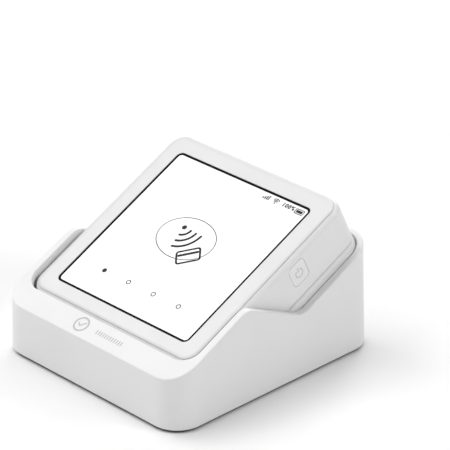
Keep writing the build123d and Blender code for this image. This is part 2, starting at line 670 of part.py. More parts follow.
# Contactless antenna loop and its ferrite backing, under the frame round the screen.
ANTENNA_THICKNESS = 0.3
ANTENNA_INSIDE = 72.0
FERRITE_SIZE = 76.4
FERRITE_INSIDE = 71.0
with BuildPart() as nfc_antenna:
    with BuildSketch(level(FRAME_DEPTH + ANTENNA_THICKNESS)):
        RectangleRounded(CORE_SIZE, CORE_SIZE, CORE_RADIUS)
        RectangleRounded(ANTENNA_INSIDE, ANTENNA_INSIDE, 2.0, mode=Mode.SUBTRACT)
    extrude(amount=ANTENNA_THICKNESS)
save(nfc_antenna, "nfc_antenna")

with BuildPart() as ferrite_sheet:
    with BuildSketch(level(FRAME_DEPTH + 2 * ANTENNA_THICKNESS)):
        RectangleRounded(FERRITE_SIZE, FERRITE_SIZE, CORE_RADIUS)
        RectangleRounded(FERRITE_INSIDE, FERRITE_INSIDE, 2.0, mode=Mode.SUBTRACT)
    extrude(amount=ANTENNA_THICKNESS)
save(ferrite_sheet, "ferrite_sheet")

# Inner frame: carries the screen and the board, with four posts for the housing screws.
CHASSIS_BOTTOM = 6.8
CHASSIS_POST_RADIUS = 2.6
CHASSIS_HOLE_RADIUS = 1.0
CHASSIS_HOLE_DEPTH = 8.0
CHASSIS_WINDOW = (40.0, 12.0)
CHASSIS_WINDOW_UP = 24.0
post_end = BOSS_DEPTH - SLIP_FIT
with BuildPart() as chassis:
    with BuildSketch(level(CHASSIS_BOTTOM)):
        RectangleRounded(CORE_SIZE, CORE_SIZE, CORE_RADIUS)
        with Locations((0, CHASSIS_WINDOW_UP), (0, -CHASSIS_WINDOW_UP)):
            RectangleRounded(*CHASSIS_WINDOW, 2, mode=Mode.SUBTRACT)
    extrude(amount=CHASSIS_BOTTOM - DISPLAY_BOTTOM_DEPTH)
    with BuildSketch(level(post_end)):
        with Locations(*post_corners):
            Circle(CHASSIS_POST_RADIUS)
    extrude(amount=post_end - CHASSIS_BOTTOM)
    with BuildSketch(level(post_end)):
        with Locations(*post_corners):
            Circle(CHASSIS_HOLE_RADIUS)
    extrude(amount=CHASSIS_HOLE_DEPTH, mode=Mode.SUBTRACT)
save(chassis, "chassis")

MAIN_TOP = 8.2
MAIN_BOTTOM = 9.4
MAIN_SIZE = 73.0
KEY_CUTOUT = (9.0, 16.0)
KEY_CUTOUT_ACROSS = MAIN_SIZE / 2
POST_HOLE_IN_BOARD = 3.2
with BuildPart() as main_board:
    with BuildSketch(level(MAIN_BOTTOM)):
        RectangleRounded(MAIN_SIZE, MAIN_SIZE, 1.0)
        with Locations(*post_corners):
            Circle(POST_HOLE_IN_BOARD, mode=Mode.SUBTRACT)
        with Locations((KEY_CUTOUT_ACROSS, KEY_UP_SLOPE)):
            Rectangle(*KEY_CUTOUT, mode=Mode.SUBTRACT)
    extrude(amount=MAIN_BOTTOM - MAIN_TOP)
save(main_board, "main_board")

CAN_LENGTH = 34.0
CAN_WIDTH = 30.0
CAN_HEIGHT = 1.2
CAN_WALL = 0.25
with BuildPart() as shield_can:
    with BuildSketch(level(MAIN_TOP)):
        RectangleRounded(CAN_LENGTH, CAN_WIDTH, 1.0)
    extrude(amount=CAN_HEIGHT)
    with BuildSketch(level(MAIN_TOP)):
        RectangleRounded(CAN_LENGTH - 2 * CAN_WALL, CAN_WIDTH - 2 * CAN_WALL, 0.8)
    extrude(amount=CAN_HEIGHT - CAN_WALL, mode=Mode.SUBTRACT)
save(shield_can, "shield_can")

# Chip card reader, in line with the slot in the front wall.
READER_FRONT = -39.5
READER_REAR = 6.5
READER_BOTTOM = 13.9
READER_WIDTH = 60.0
READER_NOTCH = 9.0
READER_NOTCH_PLACE = 32.5
CARD_GAP = 1.2
CARD_GAP_WIDTH = 54.4
CARD_STOP = 3.0
FINGER_PITCH = 2.54
FINGER_ROW_PITCH = 7.62
FINGER_ROWS_UP = 14.0
FINGER_LENGTH = 5.0
FINGER_WIDTH = 1.2
FINGER_HEIGHT = 0.4
FINGER_FIT = 0.1
card_gap_top = CARD_DEPTH - CARD_GAP / 2
reader_length = READER_REAR - READER_FRONT
reader_centre = (READER_FRONT + READER_REAR) / 2
contact_grid = GridLocations(FINGER_PITCH, FINGER_ROW_PITCH, 4, 2).locations
finger_places = [
    (spot.position.X, reader_centre + FINGER_ROWS_UP + spot.position.Y) for spot in contact_grid
]
with BuildPart() as card_reader:
    with BuildSketch(level(READER_BOTTOM, up=reader_centre)):
        Rectangle(READER_WIDTH, reader_length)
    extrude(amount=READER_BOTTOM - MAIN_BOTTOM)
    with BuildSketch(level(CARD_DEPTH + CARD_GAP / 2, up=reader_centre - CARD_STOP / 2)):
        Rectangle(CARD_GAP_WIDTH, reader_length - CARD_STOP)
    extrude(amount=CARD_GAP, mode=Mode.SUBTRACT)
    with BuildSketch(level(card_gap_top)):
        with Locations(*finger_places):
            Rectangle(FINGER_WIDTH + 2 * FINGER_FIT, FINGER_LENGTH + 2 * FINGER_FIT)
    extrude(amount=FINGER_HEIGHT + FINGER_FIT, mode=Mode.SUBTRACT)
    with BuildSketch(level(MAIN_BOTTOM)):
        with Locations((-READER_NOTCH_PLACE, -READER_NOTCH_PLACE), (READER_NOTCH_PLACE, -READER_NOTCH_PLACE)):
            Rectangle(READER_NOTCH, READER_NOTCH)
    extrude(amount=-(READER_BOTTOM - MAIN_BOTTOM), mode=Mode.SUBTRACT)
save(card_reader, "card_reader")

with BuildPart() as card_contacts:
    with BuildSketch(level(card_gap_top)):
        with Locations(*finger_places):
            Rectangle(FINGER_WIDTH, FINGER_LENGTH)
    extrude(amount=FINGER_HEIGHT)
save(card_contacts, "card_contacts")

BATTERY_LENGTH = 54.0
BATTERY_WIDTH = 38.0
BATTERY_THICKNESS = 5.6
BATTERY_UP = -5.0
BATTERY_ROUNDING = 1.5
with BuildPart() as battery_cell:
    with BuildSketch(level(FLOOR_DEPTH, up=BATTERY_UP)):
        RectangleRounded(BATTERY_LENGTH, BATTERY_WIDTH, 2.0)
    extrude(amount=BATTERY_THICKNESS)
    fillet(edges().filter_by(Axis.X), radius=BATTERY_ROUNDING)
save(battery_cell, "battery_cell")

# Coin cell and SIM card holder under the rear of the main board.
REAR_PARTS_UP = 24.0
COIN_ACROSS = 20.0
COIN_RADIUS = 6.0
COIN_THICKNESS = 2.0
with BuildPart() as backup_cell:
    with BuildSketch(level(MAIN_BOTTOM, across=COIN_ACROSS, up=REAR_PARTS_UP)):
        Circle(COIN_RADIUS)
    extrude(amount=-COIN_THICKNESS)
save(backup_cell, "backup_cell")

SIM_ACROSS = -18.0
SIM_HOLDER_LENGTH = 15.0
SIM_HOLDER_WIDTH = 12.0
SIM_HOLDER_HEIGHT = 1.4
SIM_SLOT_LENGTH = 12.5
SIM_SLOT_HEIGHT = 0.8
SIM_WALL = 0.3
with BuildPart() as sim_holder:
    with BuildSketch(level(MAIN_BOTTOM, across=SIM_ACROSS, up=REAR_PARTS_UP)):
        RectangleRounded(SIM_HOLDER_LENGTH, SIM_HOLDER_WIDTH, 0.5)
    extrude(amount=-SIM_HOLDER_HEIGHT)
    with BuildSketch(level(MAIN_BOTTOM + SIM_WALL, across=SIM_ACROSS, up=REAR_PARTS_UP)):
        Rectangle(SIM_SLOT_LENGTH, SIM_HOLDER_WIDTH + 1.0)
    extrude(amount=-SIM_SLOT_HEIGHT, mode=Mode.SUBTRACT)
save(sim_holder, "sim_holder")

SPEAKER_SIZE = (15.0, 11.0)
SPEAKER_HEIGHT = 3.8
SPEAKER_MOUTH = (11.0, 8.0)
with BuildPart() as speaker:
    with BuildSketch(level(FLOOR_DEPTH, across=SPEAKER_ACROSS, up=CONTACT_UP_SLOPE)):
        RectangleRounded(*SPEAKER_SIZE, 1.5)
    extrude(amount=SPEAKER_HEIGHT)
    with BuildSketch(level(FLOOR_DEPTH, across=SPEAKER_ACROSS, up=CONTACT_UP_SLOPE)):
        RectangleRounded(*SPEAKER_MOUTH, 1.0)
    extrude(amount=1.0, mode=Mode.SUBTRACT)
save(speaker, "speaker")

# Flexible mobile-network antenna, stuck inside the rear wall.
CELL_ANTENNA_DEPTH = 12.0
CELL_ANTENNA_SIZE = (60.0, 7.0)
CELL_ANTENNA_WINDOW = (12.0, 3.0)
CELL_ANTENNA_WINDOW_PLACE = 8.0
rear_wall = Plane(
    origin=slope_point(0, TERMINAL_CENTRE + HOUSING_INNER_HALF - LIP_FIT, CELL_ANTENNA_DEPTH),
    x_dir=(-1, 0, 0),
    z_dir=SLOPE_UP,
)
with BuildPart() as cellular_antenna:
    with BuildSketch(rear_wall):
        Rectangle(*CELL_ANTENNA_SIZE)
        with Locations((-CELL_ANTENNA_WINDOW_PLACE, 0), (CELL_ANTENNA_WINDOW_PLACE, 0)):
            Rectangle(*CELL_ANTENNA_WINDOW, mode=Mode.SUBTRACT)
    extrude(amount=-ANTENNA_THICKNESS)
save(cellular_antenna, "cellular_antenna")

# Charge pads in the bottom cover, over the cradle's pins, and their small board.
PAD_BOARD_SIZE = (22.0, 6.0)
PAD_BOARD_THICKNESS = 0.8
with BuildPart() as pad_board:
    with BuildSketch(level(FLOOR_DEPTH, up=CONTACT_UP_SLOPE)):
        Rectangle(*PAD_BOARD_SIZE)
    extrude(amount=PAD_BOARD_THICKNESS)
save(pad_board, "pad_board")

with BuildPart() as charge_pads:
    with BuildSketch(level(TERMINAL_THICKNESS, up=CONTACT_UP_SLOPE)):
        with Locations(*contact_places):
            Circle(PAD_RADIUS)
    extrude(amount=TERMINAL_THICKNESS - FLOOR_DEPTH)
save(charge_pads, "charge_pads")

# Power key: a cap in the right wall, kept in by a flange, that pushes a tact switch.
FLANGE_X = HOUSING_INNER_HALF - LIP_FIT
FLANGE_THICKNESS = 0.8
FLANGE_OVERLAP = (1.6, 0.8)
KEY_EDGE = 0.25
STEM_X = 38.0
STEM_RADIUS = 1.2


def key_level(x):
    """The plane of the key at a distance from the middle of the terminal."""
    return key_plane.offset(x - key_plane.origin.X)


with BuildPart() as power_key:
    with BuildSketch(key_level(FLANGE_X)):
        RectangleRounded(KEY_LENGTH, KEY_HEIGHT, KEY_RADIUS)
    extrude(amount=key_plane.origin.X - FLANGE_X)
    fillet(faces().sort_by(Axis.X)[-1].edges(), radius=KEY_EDGE)
    with BuildSketch(key_level(FLANGE_X)):
        Rectangle(KEY_LENGTH + FLANGE_OVERLAP[0], KEY_HEIGHT + FLANGE_OVERLAP[1])
    extrude(amount=-FLANGE_THICKNESS)
    with BuildSketch(key_level(STEM_X)):
        Circle(STEM_RADIUS)
    extrude(amount=FLANGE_X - FLANGE_THICKNESS - STEM_X)
save(power_key, "power_key")

SWITCH_FRONT_X = 37.4
SWITCH_BACK_X = 35.2
SWITCH_SIZE = 4.5
PLUNGER_RADIUS = 0.9
PLUNGER_LENGTH = 1.0
PLUNGER_HOLE_DEPTH = 1.2
KEY_BOARD_SIZE = (12.0, 5.0)
KEY_BOARD_THICKNESS = 0.8
with BuildPart() as switch_plunger:
    with BuildSketch(key_level(STEM_X)):
        Circle(PLUNGER_RADIUS)
    extrude(amount=-PLUNGER_LENGTH)
save(switch_plunger, "switch_plunger")

with BuildPart() as key_switch:
    with BuildSketch(key_level(SWITCH_BACK_X)):
        RectangleRounded(SWITCH_SIZE, SWITCH_SIZE, 0.4)
    extrude(amount=SWITCH_FRONT_X - SWITCH_BACK_X)
    with BuildSketch(key_level(SWITCH_FRONT_X)):
        Circle(PLUNGER_RADIUS + RUNNING_FIT)
    extrude(amount=-PLUNGER_HOLE_DEPTH, mode=Mode.SUBTRACT)
save(key_switch, "key_switch")

with BuildPart() as key_board:
    with BuildSketch(key_level(SWITCH_BACK_X)):
        RectangleRounded(*KEY_BOARD_SIZE, 0.5)
    extrude(amount=-KEY_BOARD_THICKNESS)
save(key_board, "key_board")
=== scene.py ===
import json
from math import atan2, cos, hypot, pi, radians, sin

import bmesh
import bpy
from mathutils import Matrix, Vector


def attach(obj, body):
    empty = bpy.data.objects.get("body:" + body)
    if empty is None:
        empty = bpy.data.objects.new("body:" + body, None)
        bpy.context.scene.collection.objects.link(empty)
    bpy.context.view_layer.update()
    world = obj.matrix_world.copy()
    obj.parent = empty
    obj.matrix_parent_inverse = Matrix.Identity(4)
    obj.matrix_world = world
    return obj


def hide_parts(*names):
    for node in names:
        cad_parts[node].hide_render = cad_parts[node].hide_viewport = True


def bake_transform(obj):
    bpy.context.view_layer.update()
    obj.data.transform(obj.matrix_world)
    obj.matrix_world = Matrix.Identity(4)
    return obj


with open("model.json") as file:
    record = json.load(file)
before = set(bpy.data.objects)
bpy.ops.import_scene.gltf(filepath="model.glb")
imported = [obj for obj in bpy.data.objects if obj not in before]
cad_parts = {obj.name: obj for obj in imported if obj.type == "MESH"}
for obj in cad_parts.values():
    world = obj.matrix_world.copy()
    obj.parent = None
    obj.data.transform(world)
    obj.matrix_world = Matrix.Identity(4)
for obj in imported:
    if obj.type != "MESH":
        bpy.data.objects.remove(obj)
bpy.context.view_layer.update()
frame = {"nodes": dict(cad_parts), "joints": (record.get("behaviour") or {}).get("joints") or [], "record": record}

MM = 0.001
nodes = frame["nodes"]

# ======================================================================
# Where things are, from the frame
# ======================================================================

# The terminal lifts out square to the sloping rim, so that joint's axis is the slope's normal.
lift = next(joint for joint in frame["joints"] if joint["name"] == "terminal_lift")
ACROSS = Vector((1, 0, 0))
OUTWARD = Vector(lift["axis"]).normalized()
UP_SLOPE = OUTWARD.cross(ACROSS).normalized()


def extent(node, direction):
    """Lowest and highest place of a CAD node along a direction, in metres."""
    places = [vertex.co.dot(direction) for vertex in nodes[node].data.vertices]
    return min(places), max(places)


def face_plane(node, right, up, outward):
    """A matrix whose origin is the middle of the node's outer face, with the given axes."""
    right_range = extent(node, right)
    up_range = extent(node, up)
    face = extent(node, outward)[1]
    origin = right * (sum(right_range) / 2) + up * (sum(up_range) / 2) + outward * face
    return Matrix.Translation(origin) @ Matrix((right, up, outward)).transposed().to_4x4()


# ======================================================================
# Materials
# ======================================================================


class Shader:
    """A material's node tree, with short calls for the nodes that the finishes share."""

    def __init__(self, name):
        self.material = bpy.data.materials.new(name)
        self.material.use_nodes = True
        self.tree = self.material.node_tree
        self.principled = self.tree.nodes["Principled BSDF"]
        self.place = self.add("ShaderNodeTexCoord").outputs["Object"]

    def add(self, kind, **settings):
        node = self.tree.nodes.new(kind)
        for name, value in settings.items():
            setattr(node, name, value)
        return node

    def link(self, output, target):
        self.tree.links.new(output, target)

    def noise(self, feature_size, detail=2.0):
        """Noise whose features are about feature_size metres across."""
        node = self.add("ShaderNodeTexNoise")
        node.inputs["Scale"].default_value = 1 / feature_size
        node.inputs["Detail"].default_value = detail
        self.link(self.place, node.inputs["Vector"])
        return node.outputs["Fac"]

    def remap(self, value, low, high):
        """The value's 0.3 to 0.7 spread over low to high."""
        node = self.add("ShaderNodeMapRange")
        self.link(value, node.inputs["Value"])
        node.inputs["From Min"].default_value = 0.3
        node.inputs["From Max"].default_value = 0.7
        node.inputs["To Min"].default_value = low
        node.inputs["To Max"].default_value = high
        return node.outputs["Result"]

    def mix(self, share, first, second):
        """A colour between first and second, each a colour or an output."""
        node = self.add("ShaderNodeMix", data_type="RGBA")
        self.link(share, node.inputs["Factor"])
        for value, socket in ((first, node.inputs["A"]), (second, node.inputs["B"])):
            if isinstance(value, bpy.types.NodeSocket):
                self.link(value, socket)
            else:
                socket.default_value = (*value, 1)
        return node.outputs["Result"]

    def edge(self, radius):
        """0 on flat places and towards 1 on edges sharper than radius, with the softened normal."""
        bevel = self.add("ShaderNodeBevel", samples=4)
        bevel.inputs["Radius"].default_value = radius
        geometry = self.add("ShaderNodeNewGeometry")
        dot = self.add("ShaderNodeVectorMath", operation="DOT_PRODUCT")
        self.link(bevel.outputs["Normal"], dot.inputs[0])
        self.link(geometry.outputs["True Normal"], dot.inputs[1])
        sharpness = self.add("ShaderNodeMapRange")
        self.link(dot.outputs["Value"], sharpness.inputs["Value"])
        sharpness.inputs["From Min"].default_value = 1.0
        sharpness.inputs["From Max"].default_value = 0.8
        return sharpness.outputs["Result"], bevel.outputs["Normal"]

    def bump(self, height, distance, normal=None, strength=1.0):
        node = self.add("ShaderNodeBump")
        self.link(height, node.inputs["Height"])
        node.inputs["Distance"].default_value = distance
        node.inputs["Strength"].default_value = strength
        if normal is not None:
            self.link(normal, node.inputs["Normal"])
        return node.outputs["Normal"]

    def set(self, **inputs):
        for name, value in inputs.items():
            socket = self.principled.inputs[name.replace("_", " ")]
            if isinstance(value, bpy.types.NodeSocket):
                self.link(value, socket)
            elif isinstance(value, tuple):
                socket.default_value = (*value, 1)
            else:
                socket.default_value = value


def scaled(colour, factor):
    return tuple(min(1.0, channel * factor) for channel in colour)


def moulded_plastic(name, colour, roughness, grain, depth, edge_radius=0.25 * MM, coat=0.0):
    """Injection-moulded plastic: fine eroded grain, faint mottling, sharp edges glossier and painted lighter as a
    painted highlight.
    """
    shader = Shader(name)
    cloud = shader.remap(shader.noise(28 * MM), 0, 1)
    # The edge mask paints the base colour lighter on sharp edges, a painted highlight, and lowers the roughness
    # there.
    edge_highlight_mask, soft_normal = shader.edge(edge_radius)
    body = shader.mix(cloud, scaled(colour, 0.985), scaled(colour, 1.01))
    rough = shader.add("ShaderNodeMix", data_type="FLOAT")
    shader.link(edge_highlight_mask, rough.inputs["Factor"])
    shader.link(shader.remap(shader.noise(9 * MM), roughness - 0.04, roughness + 0.04), rough.inputs["A"])
    rough.inputs["B"].default_value = roughness * 0.75
    grain_normal = shader.bump(shader.noise(grain, detail=3.0), depth, soft_normal)
    shader.set(
        Base_Color=shader.mix(edge_highlight_mask, body, scaled(colour, 1.03)),
        Roughness=rough.outputs["Result"],
        Normal=grain_normal,
        Coat_Weight=coat,
        Coat_Roughness=0.15,
    )
    return shader.material


def rubber(name, colour, gloss=0.5):
    """Soft rubber: matt, with a dusty bloom and a fine pitted skin."""
    shader = Shader(name)
    dust = shader.remap(shader.noise(3 * MM, detail=4.0), 0, 1)
    shader.set(
        Base_Color=shader.mix(dust, colour, tuple(channel * 1.25 + 0.002 for channel in colour)),
        Roughness=shader.remap(shader.noise(1.2 * MM), 0.62, 0.8),
        Normal=shader.bump(shader.noise(0.18 * MM), 0.012 * MM),
        Specular_IOR_Level=gloss,
    )
    return shader.material


def metal(name, colour, roughness, grain_stretch=(1, 30, 1), grain=0.25 * MM):
    """Plated sheet metal with a drawn grain and faint stains."""
    shader = Shader(name)
    stretch = shader.add("ShaderNodeMapping")
    stretch.inputs["Scale"].default_value = grain_stretch
    shader.link(shader.place, stretch.inputs["Vector"])
    lines = shader.add("ShaderNodeTexNoise")
    lines.inputs["Scale"].default_value = 1 / (grain * 10)
    shader.link(stretch.outputs["Vector"], lines.inputs["Vector"])
    stain = shader.remap(shader.noise(4 * MM, detail=3.0), 0, 1)
    shader.set(
        Base_Color=shader.mix(stain, colour, scaled(colour, 0.86)),
        Metallic=1.0,
        Roughness=shader.remap(lines.outputs["Fac"], roughness - 0.06, roughness + 0.08),
        Normal=shader.bump(lines.outputs["Fac"], 0.004 * MM),
    )
    return shader.material


def circuit_board(name, mask, copper):
    """Solder mask over copper tracks: a lighter, slightly raised grid where a track runs."""
    shader = Shader(name)
    tracks = shader.add("ShaderNodeTexBrick")
    tracks.inputs["Scale"].default_value = 1 / (6 * MM)
    tracks.inputs["Mortar Size"].default_value = 0.05
    shader.link(shader.place, tracks.inputs["Vector"])
    shader.set(
        Base_Color=shader.mix(tracks.outputs["Fac"], mask, copper),
        Roughness=shader.remap(shader.noise(0.6 * MM), 0.28, 0.4),
        Normal=shader.bump(tracks.outputs["Fac"], 0.03 * MM),
    )
    return shader.material


def lit_glass(name, colour, glow):
    """Polished cover glass over a lit white screen, with the screen's own fine pixel grid."""
    shader = Shader(name)
    pixels = shader.add("ShaderNodeTexVoronoi", distance="CHEBYCHEV")
    pixels.inputs["Scale"].default_value = 1 / (0.16 * MM)
    pixels.inputs["Randomness"].default_value = 0.0
    shader.link(shader.place, pixels.inputs["Vector"])
    grid = shader.remap(pixels.outputs["Distance"], 0, 1)
    shader.set(
        Base_Color=shader.mix(grid, colour, scaled(colour, 0.96)),
        Roughness=shader.remap(shader.noise(22 * MM, detail=4.0), 0.05, 0.11),
        Coat_Weight=0.4,
        Coat_Roughness=0.03,
        Emission_Color=colour,
        Emission_Strength=glow,
    )
    return shader.material


def foil(name, colour):
    """Crinkled laminate foil of a pouch cell."""
    shader = Shader(name)
    shader.set(
        Base_Color=shader.mix(shader.remap(shader.noise(6 * MM), 0, 1), colour, scaled(colour, 0.9)),
        Metallic=0.9,
        Roughness=shader.remap(shader.noise(2 * MM), 0.26, 0.42),
        Normal=shader.bump(shader.noise(5 * MM, detail=4.0), 0.12 * MM),
    )
    return shader.material


def ink(name, colour, roughness):
    """A printed or lit mark: even colour with a trace of speckle."""
    shader = Shader(name)
    speck = shader.remap(shader.noise(0.12 * MM, detail=3.0), 0, 1)
    shader.set(
        Base_Color=shader.mix(speck, colour, tuple(channel * 1.08 + 0.001 for channel in colour)),
        Roughness=shader.remap(shader.noise(0.5 * MM), roughness - 0.05, roughness + 0.05),
        Specular_IOR_Level=0.12,
    )
    return shader.material


FINISHES = {
    "shell_white": moulded_plastic("shell_white", (0.80, 0.80, 0.80), 0.46, 0.16 * MM, 0.004 * MM),
    "housing_white": moulded_plastic("housing_white", (0.81, 0.81, 0.81), 0.34, 0.10 * MM, 0.002 * MM),
    "bezel_white": moulded_plastic("bezel_white", (0.70, 0.70, 0.70), 0.32, 0.10 * MM, 0.002 * MM),
    "key_white": moulded_plastic("key_white", (0.84, 0.84, 0.84), 0.3, 0.10 * MM, 0.002 * MM),
    "tray_white": moulded_plastic("tray_white", (0.74, 0.74, 0.745), 0.5, 0.18 * MM, 0.006 * MM),
    # The base plate is near black so that its edge under the shell shows as the dark contact line along the foot:
    # painted shade.
    "base_grey": moulded_plastic("base_grey", (0.03, 0.03, 0.032), 0.55, 0.20 * MM, 0.010 * MM),
    "black_plastic": moulded_plastic("black_plastic", (0.03, 0.03, 0.034), 0.42, 0.15 * MM, 0.006 * MM),
    "chassis_grey": moulded_plastic("chassis_grey", (0.10, 0.11, 0.12), 0.5, 0.22 * MM, 0.010 * MM),
    "black_rubber": rubber("black_rubber", (0.003, 0.003, 0.0033), gloss=0.06),
    "grey_rubber": rubber("grey_rubber", (0.12, 0.12, 0.125)),
    "ferrite_black": rubber("ferrite_black", (0.03, 0.03, 0.03)),
    "lens_glass": lit_glass("lens_glass", (0.47, 0.47, 0.47), 0.70),
    "display_white": lit_glass("display_white", (0.47, 0.47, 0.475), 0.65),
    "board_green": circuit_board("board_green", (0.01, 0.07, 0.035), (0.03, 0.16, 0.07)),
    "steel": metal("steel", (0.56, 0.56, 0.57), 0.32),
    "bright_steel": metal("bright_steel", (0.70, 0.70, 0.71), 0.22),
    "gold_contact": metal("gold_contact", (0.83, 0.60, 0.24), 0.2),
    "copper_flex": metal("copper_flex", (0.70, 0.36, 0.18), 0.34),
    "battery_silver": foil("battery_silver", (0.62, 0.63, 0.65)),
}
SCREEN_INK = ink("screen_ink", (0.003, 0.003, 0.0035), 0.3)
FINE_INK = ink("fine_ink", (0.012, 0.012, 0.013), 0.3)
BADGE_INK = ink("badge_ink", (0.50, 0.50, 0.505), 0.4)
KEY_INK = ink("key_ink", (0.58, 0.58, 0.585), 0.4)

for part in frame["record"]["subparts"]:
    mesh = nodes[part["node"]].data
    mesh.materials.clear()
    mesh.materials.append(FINISHES[part["material_slot"]])

# ======================================================================
# Springs under the charging pins
# ======================================================================


def sprung(number):
    """A copy of a charging pin's spring, put in place of the CAD node, which is hidden."""
    node = f"contact_spring_{number}"
    spring = bpy.data.objects.new(f"live_spring_{number}", nodes[node].data.copy())
    bpy.context.scene.collection.objects.link(spring)
    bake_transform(spring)
    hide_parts(node)


PIN_COUNT = sum(name.startswith("contact_spring_") for name in nodes)
for pin_number in range(1, PIN_COUNT + 1):
    sprung(pin_number)

# ======================================================================
# Flat marks: the lit screen picture, the badge and the key's symbol
# ======================================================================


class Marks:
    """Flat shapes of one thickness on a plane, drawn in millimetres from its middle."""

    THICKNESS = 0.02 * MM

    def __init__(self):
        self.mesh = bmesh.new()

    def plate(self, points):
        """A filled shape inside a convex or simple outline, given counter-clockwise."""
        floor = [self.mesh.verts.new((x * MM, y * MM, 0)) for x, y in points]
        roof = [self.mesh.verts.new((x * MM, y * MM, self.THICKNESS)) for x, y in points]
        self.mesh.faces.new(roof)
        self.mesh.faces.new(reversed(floor))
        for i in range(len(points)):
            j = (i + 1) % len(points)
            self.mesh.faces.new((floor[i], floor[j], roof[j], roof[i]))

    def band(self, outer, inner):
        """The ring between two closed outlines with the same number of points."""
        loops = []
        for points, height in ((outer, 0), (inner, 0), (outer, self.THICKNESS), (inner, self.THICKNESS)):
            loops.append([self.mesh.verts.new((x * MM, y * MM, height)) for x, y in points])
        low_out, low_in, top_out, top_in = loops
        for i in range(len(outer)):
            j = (i + 1) % len(outer)
            self.mesh.faces.new((top_out[i], top_out[j], top_in[j], top_in[i]))
            self.mesh.faces.new((low_out[j], low_out[i], low_in[i], low_in[j]))
            self.mesh.faces.new((low_out[i], low_out[j], top_out[j], top_out[i]))
            self.mesh.faces.new((low_in[j], low_in[i], top_in[i], top_in[j]))

    def disc(self, centre, radius):
        self.plate(arc(centre, radius, 0, 360)[:-1])

    def ring(self, centre, radius, width):
        outer = arc(centre, radius + width / 2, 0, 360)[:-1]
        inner = arc(centre, radius - width / 2, 0, 360)[:-1]
        self.band(outer, inner)

    def stroke(self, path, width):
        """A line of even width with round ends along a path."""
        left, right = [], []
        for i, (x, y) in enumerate(path):
            ahead = path[min(i + 1, len(path) - 1)]
            behind = path[max(i - 1, 0)]
            length = hypot(ahead[0] - behind[0], ahead[1] - behind[1])
            side = ((behind[1] - ahead[1]) / length, (ahead[0] - behind[0]) / length)
            left.append((x + side[0] * width / 2, y + side[1] * width / 2))
            right.append((x - side[0] * width / 2, y - side[1] * width / 2))
        first = heading(path[0], path[1])
        last = heading(path[-2], path[-1])
        end_cap = arc(path[-1], width / 2, last - 90, last + 90)[1:-1]
        start_cap = arc(path[0], width / 2, first + 90, first + 270)[1:-1]
        self.plate(right + end_cap + left[::-1] + start_cap)

    def finish(self, name, plane, material, body):
        """Put the shapes on the plane as one piece that rides on a body."""
        self.mesh.normal_update()
        bmesh.ops.triangulate(self.mesh, faces=[face for face in self.mesh.faces if len(face.verts) > 4])
        bmesh.ops.recalc_face_normals(self.mesh, faces=self.mesh.faces[:])
        mesh = bpy.data.meshes.new(name)
        self.mesh.to_mesh(mesh)
        self.mesh.free()
        mesh.transform(plane)
        mesh.materials.append(material)
        piece = bpy.data.objects.new(name, mesh)
        bpy.context.scene.collection.objects.link(piece)
        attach(piece, body)
        return piece


def arc(centre, radius, start, end):
    """Points along an arc, from start to end degrees, every few degrees."""
    steps = max(8, round(abs(end - start) / 6))
    angles = [radians(start + (end - start) * i / steps) for i in range(steps + 1)]
    return [(centre[0] + radius * cos(a), centre[1] + radius * sin(a)) for a in angles]


def heading(start, end):
    """The direction from start to end, in degrees."""
    return atan2(end[1] - start[1], end[0] - start[0]) * 180 / pi


def oval(centre, size, grow):
    """Outline of an oval with the given half width and half height, grown all round."""
    angles = [radians(4 * i) for i in range(90)]
    half_width, half_height = size[0] + grow, size[1] + grow
    return [(centre[0] + half_width * cos(a), centre[1] + half_height * sin(a)) for a in angles]


def turned(points, angle, centre):
    """Points about the origin, turned by an angle and moved to the centre."""
    c, s = cos(radians(angle)), sin(radians(angle))
    return [(centre[0] + c * x - s * y, centre[1] + s * x + c * y) for x, y in points]


def rounded_box(width, height, radius):
    """Outline of a rectangle with round corners about the origin."""
    points = []
    for sx, sy, start in ((1, 1, 0), (-1, 1, 90), (-1, -1, 180), (1, -1, 270)):
        corner = (sx * (width / 2 - radius), sy * (height / 2 - radius))
        points += arc(corner, radius, start, start + 90)
    return points


def lettering(text, height, centre, spacing=1.0, boldness=0.0):
    """Triangles of a short text, as outlines about a centre, in millimetres."""
    curve = bpy.data.curves.new("lettering", "FONT")
    curve.body = text
    curve.size = height
    curve.space_character = spacing
    curve.offset = boldness
    curve.align_x = "CENTER"
    curve.align_y = "CENTER"
    writer = bpy.data.objects.new("lettering", curve)
    mesh = bpy.data.meshes.new_from_object(writer)
    outlines = []
    for face in mesh.polygons:
        points = [mesh.vertices[i].co for i in face.vertices]
        outlines.append([(centre[0] + p.x, centre[1] + p.y) for p in points])
    bpy.data.objects.remove(writer)
    bpy.data.curves.remove(curve)
    bpy.data.meshes.remove(mesh)
    return outlines


screen_plane = face_plane("cover_lens", ACROSS, UP_SLOPE, OUTWARD)

# Main picture: waves from a dot towards a plain card, inside a thin oval.
OVAL_CENTRE = (-1.1, 2.7)
OVAL_SIZE = (13.1, 9.4)
OVAL_HALF_LINE = 0.16
WAVE_SOURCE = (-5.6, 6.6)
WAVE_DOT_RADIUS = 1.0
WAVE_RADII = (3.6, 6.4, 9.2)
WAVE_SWEEP = (-78, -4)
WAVE_LINE = 1.0
CARD_CENTRE = (5.6, -3.3)
CARD_TILT = 40
CARD_STRIPE = [(-3.6, 1.0), (3.6, 1.0)]
CARD_STRIPE_LINE = 1.1
picture = Marks()
picture.disc(WAVE_SOURCE, WAVE_DOT_RADIUS)
for radius in WAVE_RADII:
    picture.stroke(arc(WAVE_SOURCE, radius, *WAVE_SWEEP), WAVE_LINE)
card_outer = turned(rounded_box(9.8, 6.6, 1.3), CARD_TILT, CARD_CENTRE)
card_inner = turned(rounded_box(8.2, 5.0, 0.5), CARD_TILT, CARD_CENTRE)
picture.band(card_outer, card_inner)
picture.stroke(turned(CARD_STRIPE, CARD_TILT, CARD_CENTRE), CARD_STRIPE_LINE)

